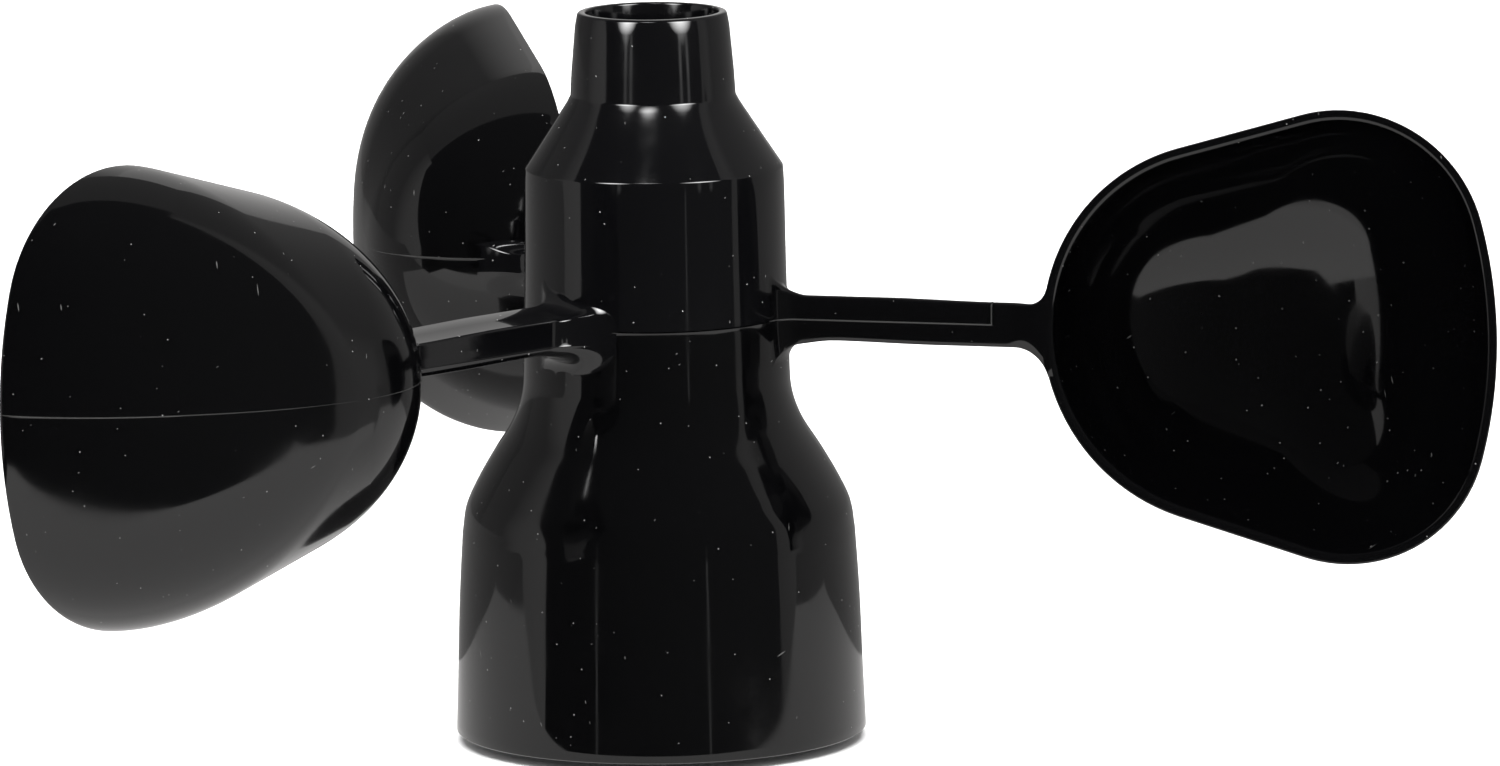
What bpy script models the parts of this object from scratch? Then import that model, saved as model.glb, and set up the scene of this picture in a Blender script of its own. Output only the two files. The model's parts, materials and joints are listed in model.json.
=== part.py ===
"""A three-cup anemometer: a moulded rotor (hub, arms, cups) on a spindle, which turns in two ball
bearings in a stationary cartridge. The cartridge stands on a flat foot inside the rotor's bell.

Metres, +Z up. The origin is the centre of the foot's underside, on the spindle's axis, and arm 1
lies along +X. Every turning piece has its origin on that axis. MM turns millimetres into metres.
"""

from math import acos, atan2, cos, hypot, pi, radians, sin, sqrt

import bmesh
import bpy
from mathutils import Matrix

MM = 0.001
GAP = 0.3  # clearance between neighbouring pieces, mm
FINE_GAP = 0.15  # clearance inside a ball bearing, mm

# Rotor, mm
ARMS = 3
ARM_Z = 47.3  # height of the arms' mid-plane above the foot
HUB_TOP = 34.1  # from here on, heights that start with HUB_ or BELL_ are from the arms' mid-plane
HUB_SEAM = 0.3
BELL_RIM = -46.8
HUB_WALL = 1.9
WAIST_R = 14.55  # at the seam
TUBE_MOUTH_R = 7.2
WELL_FLOOR_R = 6.5
HUB_WELL_FLOOR = 13.0
HUB_BOSS_R = 5.6
HUB_BOSS_BOTTOM = 3.2
INSERT_R = 3.7
INSERT_FLANGE_R = 5.2
INSERT_FLANGE_THICK = 1.0

# Arm section, mm: the flat side faces the way the cups open
ARM_HEIGHT = 4.3
ARM_BACK = -1.6
ARM_FRONT = 1.9
ARM_ROOT_U = 14.85
ARM_END_U = 39.0
ARM_ROOT_FILLET = 4.0

# Cup's end of an arm, mm
TANG_UPPER_U = 43.8  # where the tang starts to widen into the lip
TANG_END_U = 45.4
TANG_UP = 4.4
TANG_DOWN = 5.2
GUSSET_AT = (45.6, 3.2)
GUSSET_SIZE = (4.0, 5.6, 2.3)

# Cup, mm: u runs out along the arm, t is the way the closed side leads, w is up
LIP_T = -1.7
CUP_DEPTH = 20.3
CUP_WALL = 1.4
CUP_INNER_U = 65.95
CUP_INNER_R = 21.3
CUP_CORNER_U = 78.5
CUP_CORNER_W = 9.1
CUP_CORNER_R = 16.05
CUP_OUTER_R = 51.8
CUP_CENTRE_U = 66.2
CUP_APEX_SHIFT = -4.4
CUP_POWER = 1.61
CUP_ROOT = 2.39
CUP_RINGS = 7

# Spindle and bearings, mm above the foot
SPINDLE_R = 2.0
SPINDLE_TOP = 66.0
SPINDLE_BOTTOM = 7.6
SPINDLE_CHAMFER = 0.4
CLIP_GROOVE_R = 1.55
CLIP_R = 3.2
CLIP_Z = 8.35
CLIP_THICK = 0.5
CLIP_PLAY = 0.1
COLLAR_R = 2.9
COLLAR_Z = 39.6
COLLAR_HEIGHT = 2.2
WASHER_R = 4.5
WASHER_THICK = 0.8
NUT_FLATS = 7.0
NUT_HEIGHT = 3.2
DRIP_TOP = 45.5
DRIP_FLOOR = 42.3
DRIP_RIM = 40.5
BEARING_R = 5.0
BEARING_WIDTH = 4.0
LOWER_BEARING_Z = 9.2
UPPER_BEARING_Z = 35.3
BALL_PITCH_R = 3.5
BALL_R = 0.7
BALLS = 7
OUTER_RACE_R = 4.05
INNER_RACE_R = 2.95
GROOVE_FLOOR = 0.25  # half widths of a race's groove
GROOVE_MOUTH = 0.8

# Cartridge, mm above the foot
FOOT_R = 17.0
FOOT_LEDGE = 3.0
FOOT_STEP_R = 14.5
FOOT_STEP_TOP = 5.0
HOUSING_R = 6.8
HOUSING_BOTTOM = 5.3
HOUSING_TOP = 41.6
HOUSING_MOUTH_R = 3.7
CIRCLIP_GROOVE_R = 5.9
CIRCLIP_GROOVE_HEIGHT = 1.2
CIRCLIP_R = 5.65
CIRCLIP_INNER_R = 4.4
CIRCLIP_THICK = 0.7
SPACER_INNER_R = 4.3
FLANGE_R = 10.0
FLANGE_TOP = 7.8
COVER_TOP = 24.5
COVER_WALL = 0.8
COVER_ROOF = 1.2
SEAL_AT = 15.35
SEAL_R = 0.6
BOARD_Z = 17.5
BOARD_THICK = 1.6
BOARD_R = 15.4
BOARD_HOLE_R = 7.8
BOARD_POST_AT = 12.4
BOARD_POST_R = 2.0
HOUSING_SCREW_AT = 8.4
SCREW_HOLE_R = 1.2
SCREW_SHANK_R = 0.9
BOARD_SCREW_HEAD_R = 1.9
BOARD_SCREW_END = 11.0
HOUSING_SCREW_HEAD_R = 1.3
HOUSING_SCREW_END = 2.2
GROMMET_AT = 11.6
GROMMET_TURN = 285  # degrees round from +X
GROMMET_R = 2.3
GROMMET_BORE_R = 1.6
REED_R = 1.1
REED_LENGTH = 9.0
LEAD_R = 0.3
LEAD_REACH = 7.0
MAGNET_AT = 12.6
MAGNET_Z = 26.6
MAGNET_THICK = 3.0
MAGNET_R = 2.5
CARRIER_Z = 27.0
CARRIER_TOP = 30.5
CARRIER_R = 18.2
CARRIER_TOP_R = 16.2
CARRIER_BORE_R = 8.4

COLOURS = {
    # name: (red, green, blue), roughness, metallic
    "black_plastic": ((0.006, 0.006, 0.007), 0.12, 0.0),
    "steel": ((0.6, 0.6, 0.62), 0.25, 1.0),
    "bearing_steel": ((0.5, 0.51, 0.53), 0.18, 1.0),
    "brass": ((0.75, 0.52, 0.2), 0.3, 1.0),
    "magnet_nickel": ((0.65, 0.63, 0.58), 0.2, 1.0),
    "grey_plastic": ((0.12, 0.12, 0.13), 0.45, 0.0),
    "rubber": ((0.02, 0.02, 0.02), 0.8, 0.0),
    "circuit_board": ((0.02, 0.14, 0.05), 0.5, 0.0),
    "switch_glass": ((0.25, 0.4, 0.32), 0.1, 0.0),
}


def clear_scene():
    for obj in list(bpy.data.objects):
        bpy.data.objects.remove(obj, do_unlink=True)


def new_collection(name):
    found = bpy.data.collections.new(name)
    bpy.context.scene.collection.children.link(found)
    return found


def material(name):
    found = bpy.data.materials.get(name)
    if found:
        return found
    colour, roughness, metallic = COLOURS[name]
    made = bpy.data.materials.new(name)
    made.use_nodes = True
    shader = made.node_tree.nodes["Principled BSDF"]
    shader.inputs["Base Color"].default_value = (*colour, 1.0)
    shader.inputs["Roughness"].default_value = roughness
    shader.inputs["Metallic"].default_value = metallic
    return made


def place(obj, collection, look=None):
    collection.objects.link(obj)
    if look:
        obj.data.materials.append(material(look))
    return obj


def as_cutter(obj):
    obj.hide_render = True
    obj.display_type = "WIRE"
    CUTTERS.objects.link(obj)
    return obj


def object_from(bm, name):
    bmesh.ops.recalc_face_normals(bm, faces=bm.faces)
    mesh = bpy.data.meshes.new(name)
    bm.to_mesh(mesh)
    bm.free()
    mesh.shade_smooth()
    mesh.set_sharp_from_angle(angle=radians(35))
    return bpy.data.objects.new(name, mesh)


def turned(name, profile, steps=40, closed=True):
    """A solid turned about Z. profile is (radius, height) in mm, down its outer side; an open one
    starts and ends on the axis."""
    mesh = bpy.data.meshes.new(name)
    points = [(r * MM, 0, z * MM) for r, z in profile]
    edges = [(i, i + 1) for i in range(len(points) - 1)]
    if closed:
        edges.append((len(points) - 1, 0))
    mesh.from_pydata(points, edges, [])
    obj = bpy.data.objects.new(name, mesh)
    screw = obj.modifiers.new("Turn", "SCREW")
    screw.steps = steps
    screw.render_steps = steps
    screw.use_merge_vertices = True
    screw.merge_threshold = 0.000001
    screw.use_smooth_shade = True
    return obj


def cylinder(name, radius, low, high, at=(0, 0), sides=20):
    bm = bmesh.new()
    middle = Matrix.Translation((at[0] * MM, at[1] * MM, (low + high) / 2 * MM))
    bmesh.ops.create_cone(
        bm, cap_ends=True, segments=sides, radius1=radius * MM, radius2=radius * MM,
        depth=(high - low) * MM, matrix=middle,
    )
    return object_from(bm, name)


def combine(obj, other, operation):
    step = obj.modifiers.new(f"{operation.title()} {other.name}", "BOOLEAN")
    step.operation = operation
    step.solver = "EXACT"
    step.object = other


def polar(radius, degrees):
    return radius * cos(radians(degrees)), radius * sin(radians(degrees))


def mesh_of(curve, name):
    """The curve's solid as a bmesh, with its caps welded."""
    guide = bpy.data.objects.new(name + "_guide", curve)
    CUTTERS.objects.link(guide)
    bpy.context.view_layer.update()
    graph = bpy.context.evaluated_depsgraph_get()
    mesh = bpy.data.meshes.new_from_object(guide.evaluated_get(graph))
    bpy.data.objects.remove(guide, do_unlink=True)
    bm = bmesh.new()
    bm.from_mesh(mesh)
    bmesh.ops.remove_doubles(bm, verts=bm.verts, dist=0.000001)
    return bm


def plate(name, outline, low, high):
    """A flat outline of (u, w) in mm, standing in the XZ plane, from y = low to y = high."""
    curve = bpy.data.curves.new(name, "CURVE")
    curve.dimensions = "2D"
    curve.fill_mode = "BOTH"
    curve.extrude = (high - low) / 2 * MM
    spline = curve.splines.new("POLY")
    spline.points.add(len(outline) - 1)
    spline.use_cyclic_u = True
    for point, (u, w) in zip(spline.points, outline):
        point.co = (u * MM, w * MM, 0, 1)
    bm = mesh_of(curve, name)
    stand = Matrix.Translation((0, (low + high) / 2 * MM, 0)) @ Matrix.Rotation(pi / 2, 4, "X")
    bmesh.ops.transform(bm, matrix=stand, verts=bm.verts)
    return object_from(bm, name)


def arc(centre, radius, start, stop, count):
    """Points from angle start to angle stop, in radians, both ends in."""
    step = (stop - start) / (count - 1)
    angles = [start + step * i for i in range(count)]
    return [(centre[0] + radius * cos(a), centre[1] + radius * sin(a)) for a in angles]


# Hub


def hub_upper():
    """Top tube, shoulder and waist, with a boss inside that holds the insert under an open well."""
    half_seam = HUB_SEAM + GAP / 2
    outer = [
        (8.0, HUB_TOP), (8.25, HUB_TOP - 0.3), (8.95, 27.0), (9.05, 24.8), (14.1, 16.8),
        (14.3, 13.0), (WAIST_R, half_seam),
    ]
    underside = [
        (WAIST_R - HUB_WALL, half_seam), (12.58, 15.8), (8.9, 21.6), (8.7, 11.0),
        (HUB_BOSS_R, 10.4), (HUB_BOSS_R, HUB_BOSS_BOTTOM), (INSERT_R + GAP, HUB_BOSS_BOTTOM),
    ]
    well = [
        (INSERT_R + GAP, HUB_WELL_FLOOR), (WELL_FLOOR_R, HUB_WELL_FLOOR),
        (TUBE_MOUTH_R, HUB_TOP - 0.5), (TUBE_MOUTH_R + 0.2, HUB_TOP),
    ]
    obj = turned("hub_upper", outer + underside + well, steps=36)
    obj.location.z = ARM_Z * MM
    return place(obj, PARTS, "black_plastic")


def hub_bell():
    """Lower waist, flare and bell skirt, an even wall that is open below."""
    half_seam = HUB_SEAM - GAP / 2
    outer = [
        (WAIST_R, half_seam), (14.7, -6.2), (15.05, -8.9), (15.65, -10.7), (16.7, -12.4),
        (18.25, -15.0), (19.8, -17.7), (20.75, -19.5), (21.4, -21.3), (21.75, -23.2),
        (21.9, -26.5), (22.4, -36.0), (22.65, BELL_RIM),
    ]
    inner = [
        (20.8, BELL_RIM), (20.5, -36.0), (19.95, -24.5), (19.0, -20.6),
        (14.9, -13.4), (13.4, -10.9), (12.85, -7.0), (WAIST_R - HUB_WALL, half_seam),
    ]
    obj = turned("hub_bell", outer + inner, steps=36)
    obj.location.z = ARM_Z * MM
    return place(obj, PARTS, "black_plastic")


# Arms and cups


def arm_outline():
    """Side view of an arm: a straight bar that flares in two fillets where it meets the hub."""
    half = ARM_HEIGHT / 2
    centre_u = ARM_ROOT_U + ARM_ROOT_FILLET
    lower = arc((centre_u, -half - ARM_ROOT_FILLET), ARM_ROOT_FILLET, pi, pi / 2, 6)
    upper = [(u, -w) for u, w in reversed(lower)]
    return lower + [(ARM_END_U, -half), (ARM_END_U, half)] + upper


def arm(number):
    obj = plate(f"arm_{number}", arm_outline(), ARM_BACK, ARM_FRONT)
    obj.location.z = ARM_Z * MM
    obj.rotation_euler.z = 2 * pi / ARMS * (number - 1)
    return place(obj, PARTS, "black_plastic")


def lip_outline(inset):
    """The lip's outline in (u, w): a round inner end, two round outer corners and a long outer arc,
    all moved in by inset. It runs anticlockwise from the middle of the outer side."""
    inner_r = CUP_INNER_R - inset
    corner_r = CUP_CORNER_R - inset
    outer_r = CUP_OUTER_R - inset
    reach = CUP_OUTER_R - CUP_CORNER_R
    outer_u = CUP_CORNER_U - sqrt(reach**2 - CUP_CORNER_W**2)
    meets = atan2(CUP_CORNER_W, CUP_CORNER_U - outer_u)
    along, up = CUP_CORNER_U - CUP_INNER_U, CUP_CORNER_W
    tangent = atan2(up, along) + acos((inner_r - corner_r) / hypot(along, up))
    half = arc((outer_u, 0), outer_r, 0, meets, 3)
    half += arc((CUP_CORNER_U, CUP_CORNER_W), corner_r, meets, tangent, 8)[1:]
    half += arc((CUP_INNER_U, 0), inner_r, tangent, pi, 6)
    return half + [(u, -w) for u, w in reversed(half[1:-1])]


def dome(name, inset, depth, overrun):
    """A closed solid from the lip plane to the apex. Sections shrink about the cup's centre."""
    outline = lip_outline(inset)
    rings = [(0.0, -overrun)] if overrun else []
    shares = [sin(pi / 2 * i / CUP_RINGS) for i in range(CUP_RINGS)] + [0.997]
    rings += [(share, share * depth) for share in shares]
    bm = bmesh.new()
    loops = []
    for share, t in rings:
        size = (1 - share**CUP_POWER) ** (1 / CUP_ROOT)
        centre = CUP_CENTRE_U + CUP_APEX_SHIFT * share
        loops.append([
            bm.verts.new((
                (centre + (u - CUP_CENTRE_U) * size) * MM, (LIP_T + t) * MM, w * size * MM,
            ))
            for u, w in outline
        ])
    count = len(outline)
    for near, far in zip(loops, loops[1:]):
        for i in range(count):
            j = (i + 1) % count
            bm.faces.new((near[i], near[j], far[j], far[i]))
    bm.faces.new(loops[0])
    bm.faces.new(loops[-1])
    return object_from(bm, name)


def tang(name):
    """The cup's end of the arm, which widens into the lip."""
    half = ARM_HEIGHT / 2
    start = ARM_END_U + GAP
    lower = [
        (start, -half), (TANG_UPPER_U - 1.2, -half - 0.1), (TANG_UPPER_U - 0.2, -3.4),
        (TANG_UPPER_U + 0.5, -TANG_DOWN), (TANG_END_U, -TANG_DOWN),
    ]
    upper = [
        (TANG_END_U, TANG_UP), (TANG_UPPER_U + 0.6, TANG_UP), (TANG_UPPER_U, 3.2),
        (TANG_UPPER_U - 0.8, half + 0.1), (start, half),
    ]
    return as_cutter(plate(name, lower + upper, ARM_BACK, ARM_FRONT))


def gusset(name):
    """A rounded nose that runs from the tang onto the dome."""
    bm = bmesh.new()
    bmesh.ops.create_uvsphere(bm, u_segments=10, v_segments=7, radius=1)
    size = Matrix.Diagonal([length * MM for length in GUSSET_SIZE]).to_4x4()
    at = Matrix.Translation((GUSSET_AT[0] * MM, GUSSET_AT[1] * MM, 0))
    bmesh.ops.transform(bm, matrix=at @ size, verts=bm.verts)
    return as_cutter(object_from(bm, name))


def cup(number):
    obj = dome(f"cup_{number}", 0, CUP_DEPTH, 0)
    cavity = as_cutter(dome(f"cup_{number}_inside", CUP_WALL, CUP_DEPTH - CUP_WALL, 1.0))
    helpers = [tang(f"cup_{number}_tang"), gusset(f"cup_{number}_gusset"), cavity]
    for helper, operation in zip(helpers, ("UNION", "UNION", "DIFFERENCE")):
        helper.parent = obj
        combine(obj, helper, operation)
    obj.location.z = ARM_Z * MM
    obj.rotation_euler.z = 2 * pi / ARMS * (number - 1)
    return place(obj, PARTS, "black_plastic")


# Spindle group


def spindle():
    groove_low, groove_top = CLIP_Z - CLIP_PLAY, CLIP_Z + CLIP_THICK + CLIP_PLAY
    collar_top = COLLAR_Z + COLLAR_HEIGHT
    profile = [
        (0, SPINDLE_TOP), (SPINDLE_R - SPINDLE_CHAMFER, SPINDLE_TOP),
        (SPINDLE_R, SPINDLE_TOP - SPINDLE_CHAMFER), (SPINDLE_R, collar_top),
        (COLLAR_R, collar_top), (COLLAR_R, COLLAR_Z), (SPINDLE_R, COLLAR_Z),
        (SPINDLE_R, groove_top), (CLIP_GROOVE_R, groove_top), (CLIP_GROOVE_R, groove_low),
        (SPINDLE_R, groove_low), (SPINDLE_R, SPINDLE_BOTTOM + 0.2),
        (SPINDLE_R - 0.2, SPINDLE_BOTTOM), (0, SPINDLE_BOTTOM),
    ]
    return place(turned("spindle", profile, 20, closed=False), PARTS, "steel")


def ring(name, inner, outer, low, high, look, steps=28):
    profile = [(outer, high), (outer, low), (inner, low), (inner, high)]
    return place(turned(name, profile, steps), PARTS, look)


def spindle_clip():
    inner, high = CLIP_GROOVE_R + FINE_GAP, CLIP_Z + CLIP_THICK
    obj = ring("spindle_clip", inner, CLIP_R, CLIP_Z, high, "steel")
    slot = cylinder("spindle_clip_mouth", 1.2, CLIP_Z - 1, CLIP_Z + 1, at=(2.8, 0), sides=8)
    combine(obj, as_cutter(slot), "DIFFERENCE")


def shaft_insert():
    bore = SPINDLE_R + GAP
    top = ARM_Z + HUB_WELL_FLOOR - GAP
    flange = ARM_Z + HUB_BOSS_BOTTOM - GAP
    low = flange - INSERT_FLANGE_THICK
    profile = [
        (INSERT_R, top), (INSERT_R, flange), (INSERT_FLANGE_R, flange), (INSERT_FLANGE_R, low),
        (bore, low), (bore, top),
    ]
    place(turned("shaft_insert", profile, 28), PARTS, "brass")


def retaining_nut():
    low = ARM_Z + HUB_WELL_FLOOR + WASHER_THICK + 2 * GAP
    high = low + NUT_HEIGHT
    obj = cylinder("retaining_nut", NUT_FLATS / sqrt(3), low, high, sides=6)
    hole = cylinder("retaining_nut_hole", SPINDLE_R + GAP, low - 1, high + 1)
    combine(obj, as_cutter(hole), "DIFFERENCE")
    place(obj, PARTS, "steel")


def nut_washer():
    low = ARM_Z + HUB_WELL_FLOOR + GAP
    ring("nut_washer", SPINDLE_R + GAP, WASHER_R, low, low + WASHER_THICK, "steel")


def drip_ring():
    """A rubber umbrella over the housing's mouth."""
    bore = SPINDLE_R + GAP
    profile = [
        (3.4, DRIP_TOP), (8.2, 43.2), (8.9, DRIP_RIM), (8.0, DRIP_RIM), (7.5, DRIP_FLOOR),
        (bore, DRIP_FLOOR), (bore, DRIP_TOP),
    ]
    place(turned("drip_ring", profile, 28), PARTS, "rubber")


def magnet_carrier():
    profile = [
        (CARRIER_TOP_R, CARRIER_TOP), (CARRIER_R, CARRIER_Z + 0.4), (CARRIER_R, CARRIER_Z),
        (CARRIER_BORE_R, CARRIER_Z), (CARRIER_BORE_R, CARRIER_TOP),
    ]
    obj = turned("magnet_carrier", profile, 36)
    for number, at in enumerate((polar(MAGNET_AT, 60), polar(MAGNET_AT, 240)), start=1):
        low, high = MAGNET_Z - 1, MAGNET_Z + MAGNET_THICK + GAP
        pocket = cylinder(f"magnet_pocket_{number}", MAGNET_R + GAP, low, high, at)
        combine(obj, as_cutter(pocket), "DIFFERENCE")
        magnet = cylinder(f"magnet_{number}", MAGNET_R, MAGNET_Z, MAGNET_Z + MAGNET_THICK, at)
        place(magnet, PARTS, "magnet_nickel")
    place(obj, PARTS, "grey_plastic")


# Bearings


def outer_race(name, low):
    groove, middle = BALL_PITCH_R + BALL_R + FINE_GAP, low + BEARING_WIDTH / 2
    high = low + BEARING_WIDTH
    profile = [
        (BEARING_R, high), (BEARING_R, low), (OUTER_RACE_R, low),
        (OUTER_RACE_R, middle - GROOVE_MOUTH), (groove, middle - GROOVE_FLOOR),
        (groove, middle + GROOVE_FLOOR), (OUTER_RACE_R, middle + GROOVE_MOUTH),
        (OUTER_RACE_R, high),
    ]
    place(turned(name, profile, 24), PARTS, "bearing_steel")


def inner_race(name, low):
    bore, high = SPINDLE_R + FINE_GAP, low + BEARING_WIDTH
    groove, middle = BALL_PITCH_R - BALL_R - FINE_GAP, low + BEARING_WIDTH / 2
    profile = [
        (INNER_RACE_R, high), (INNER_RACE_R, middle + GROOVE_MOUTH),
        (groove, middle + GROOVE_FLOOR), (groove, middle - GROOVE_FLOOR),
        (INNER_RACE_R, middle - GROOVE_MOUTH), (INNER_RACE_R, low), (bore, low), (bore, high),
    ]
    place(turned(name, profile, 20), PARTS, "bearing_steel")


def ball_cage(name, low):
    """The cage and its balls, which travel round together."""
    middle = low + BEARING_WIDTH / 2
    profile = [(3.7, 0.5), (3.7, -0.5), (3.3, -0.5), (3.3, 0.5)]
    obj = turned(name, profile, 21)
    bm = bmesh.new()
    for i in range(BALLS):
        x, y = polar(BALL_PITCH_R, 360 / BALLS * i)
        at = Matrix.Translation((x * MM, y * MM, 0))
        bmesh.ops.create_uvsphere(bm, u_segments=8, v_segments=5, radius=BALL_R * MM, matrix=at)
    balls = as_cutter(object_from(bm, name + "_balls"))
    balls.parent = obj
    combine(obj, balls, "UNION")
    obj.location.z = middle * MM
    place(obj, PARTS, "bearing_steel")


def bearing(side, low):
    outer_race(f"{side}_outer_race", low)
    inner_race(f"{side}_inner_race", low)
    ball_cage(f"{side}_ball_cage", low)


# Cartridge


def bearing_housing():
    bore = BEARING_R + GAP
    shoulder = LOWER_BEARING_Z - GAP
    groove_low = UPPER_BEARING_Z + BEARING_WIDTH + GAP
    groove_high = groove_low + CIRCLIP_GROOVE_HEIGHT
    profile = [
        (HOUSING_MOUTH_R, HOUSING_BOTTOM), (HOUSING_MOUTH_R, shoulder), (bore, shoulder),
        (bore, groove_low), (CIRCLIP_GROOVE_R, groove_low), (CIRCLIP_GROOVE_R, groove_high),
        (bore, groove_high), (bore, HOUSING_TOP), (HOUSING_R, HOUSING_TOP),
        (HOUSING_R, FLANGE_TOP), (FLANGE_R, FLANGE_TOP), (FLANGE_R, HOUSING_BOTTOM),
    ]
    obj = turned("bearing_housing", profile, 32)
    for number in (1, 2, 3):
        at = polar(HOUSING_SCREW_AT, 120 * number - 30)
        low, high = HOUSING_BOTTOM - 1, FLANGE_TOP + 1
        hole = cylinder(f"flange_hole_{number}", SCREW_HOLE_R, low, high, at, 12)
        combine(obj, as_cutter(hole), "DIFFERENCE")
    place(obj, PARTS, "grey_plastic")


def housing_circlip():
    groove_low = UPPER_BEARING_Z + BEARING_WIDTH + GAP
    low = groove_low + (CIRCLIP_GROOVE_HEIGHT - CIRCLIP_THICK) / 2
    obj = ring("housing_circlip", CIRCLIP_INNER_R, CIRCLIP_R, low, low + CIRCLIP_THICK, "steel")
    slot = cylinder("housing_circlip_mouth", 0.9, low - 1, low + 2, at=(5.0, 0), sides=8)
    combine(obj, as_cutter(slot), "DIFFERENCE")


def bearing_spacer():
    low = LOWER_BEARING_Z + BEARING_WIDTH + GAP
    ring("bearing_spacer", SPACER_INNER_R, BEARING_R, low, UPPER_BEARING_Z - GAP, "steel")


def screw(name, at, seat, end, head_r):
    """A pan-head screw whose head sits on the height seat and whose shank ends at end."""
    profile = [
        (0, seat + 1.2), (head_r * 0.7, seat + 1.2), (head_r, seat + 0.7), (head_r, seat),
        (SCREW_SHANK_R, seat), (SCREW_SHANK_R, end + 0.4), (0, end),
    ]
    obj = turned(name, profile, 16, closed=False)
    obj.location = (at[0] * MM, at[1] * MM, 0)
    place(obj, PARTS, "steel")


def post_places():
    return [polar(BOARD_POST_AT, 15), polar(BOARD_POST_AT, 195)]


def sensor_base():
    """The round foot, with two posts for the board and holes for screws and the cable."""
    profile = [
        (0, FOOT_STEP_TOP), (FOOT_STEP_R, FOOT_STEP_TOP), (FOOT_STEP_R, FOOT_LEDGE),
        (FOOT_R, FOOT_LEDGE), (FOOT_R, 0.4), (FOOT_R - 0.4, 0), (0, 0),
    ]
    obj = turned("sensor_base", profile, 40, closed=False)
    for number, at in enumerate(post_places(), start=1):
        low, high = FOOT_STEP_TOP - 1, BOARD_Z - GAP
        post = cylinder(f"board_post_{number}", BOARD_POST_R, low, high, at, 16)
        combine(obj, as_cutter(post), "UNION")
    for number, at in enumerate(post_places(), start=1):
        low, high = BOARD_SCREW_END - 1, BOARD_Z + 1
        hole = cylinder(f"board_post_hole_{number}", SCREW_HOLE_R, low, high, at, 12)
        combine(obj, as_cutter(hole), "DIFFERENCE")
    for number in (1, 2, 3):
        at = polar(HOUSING_SCREW_AT, 120 * number - 30)
        low, high = HOUSING_SCREW_END - 0.5, FOOT_STEP_TOP + 1
        hole = cylinder(f"base_hole_{number}", SCREW_HOLE_R, low, high, at, 12)
        combine(obj, as_cutter(hole), "DIFFERENCE")
    at = polar(GROMMET_AT, GROMMET_TURN)
    inlet = cylinder("cable_hole", GROMMET_R + GAP, -1, FOOT_STEP_TOP + 1, at)
    combine(obj, as_cutter(inlet), "DIFFERENCE")
    place(obj, PARTS, "grey_plastic")


def sensor_cover():
    inside, mouth = FOOT_R - COVER_WALL, HOUSING_R + 0.6
    low, roof = FOOT_LEDGE + GAP, COVER_TOP - COVER_ROOF
    profile = [
        (mouth, COVER_TOP), (FOOT_R - 0.8, COVER_TOP), (FOOT_R, COVER_TOP - 0.8), (FOOT_R, low),
        (inside, low), (inside, roof), (mouth, roof),
    ]
    place(turned("sensor_cover", profile, 36), PARTS, "grey_plastic")


def base_seal():
    """A rubber ring round the foot's step, inside the cover."""
    section = arc((SEAL_AT, FOOT_LEDGE + GAP + SEAL_R + 0.1), SEAL_R, 0, -2 * pi, 7)[:-1]
    place(turned("base_seal", section, 32), PARTS, "rubber")


def cable_grommet():
    low, high = 0.5, FOOT_STEP_TOP - 0.1
    profile = [(GROMMET_R, high), (GROMMET_R, low), (GROMMET_BORE_R, low), (GROMMET_BORE_R, high)]
    obj = turned("cable_grommet", profile, 20)
    x, y = polar(GROMMET_AT, GROMMET_TURN)
    obj.location = (x * MM, y * MM, 0)
    place(obj, PARTS, "rubber")


def sensor_board():
    top = BOARD_Z + BOARD_THICK
    profile = [(BOARD_R, top), (BOARD_R, BOARD_Z), (BOARD_HOLE_R, BOARD_Z), (BOARD_HOLE_R, top)]
    obj = turned("sensor_board", profile, 40)
    for number, at in enumerate(post_places(), start=1):
        hole = cylinder(f"board_hole_{number}", SCREW_HOLE_R, BOARD_Z - 1, top + 1, at, 12)
        combine(obj, as_cutter(hole), "DIFFERENCE")
    place(obj, PARTS, "circuit_board")


def reed_switch():
    """A glass capsule across the magnets' path, with its two leads bent down to the board."""
    low = BOARD_Z + BOARD_THICK + GAP
    high = low + REED_R + 0.5
    bm = bmesh.new()
    lie = Matrix.Translation((0, MAGNET_AT * MM, high * MM)) @ Matrix.Rotation(pi / 2, 4, "Y")
    bmesh.ops.create_cone(
        bm, cap_ends=True, segments=12, radius1=REED_R * MM, radius2=REED_R * MM,
        depth=REED_LENGTH * MM, matrix=lie,
    )
    obj = object_from(bm, "reed_switch")
    curve = bpy.data.curves.new("reed_leads", "CURVE")
    curve.dimensions = "3D"
    curve.bevel_depth = LEAD_R * MM
    curve.bevel_resolution = 1
    curve.use_fill_caps = True
    spline = curve.splines.new("POLY")
    bend = LEAD_REACH - 0.5
    half = [(bend, high), (LEAD_REACH, high - 0.5), (LEAD_REACH, low)]
    route = [(-x, z) for x, z in reversed(half)] + half
    spline.points.add(len(route) - 1)
    for point, (x, z) in zip(spline.points, route):
        point.co = (x * MM, MAGNET_AT * MM, z * MM, 1)
    leads = as_cutter(object_from(mesh_of(curve, "reed_leads"), "reed_leads"))
    combine(obj, leads, "UNION")
    place(obj, PARTS, "switch_glass")


clear_scene()
PARTS = new_collection("cup_anemometer")
CUTTERS = new_collection("cutters")

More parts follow.
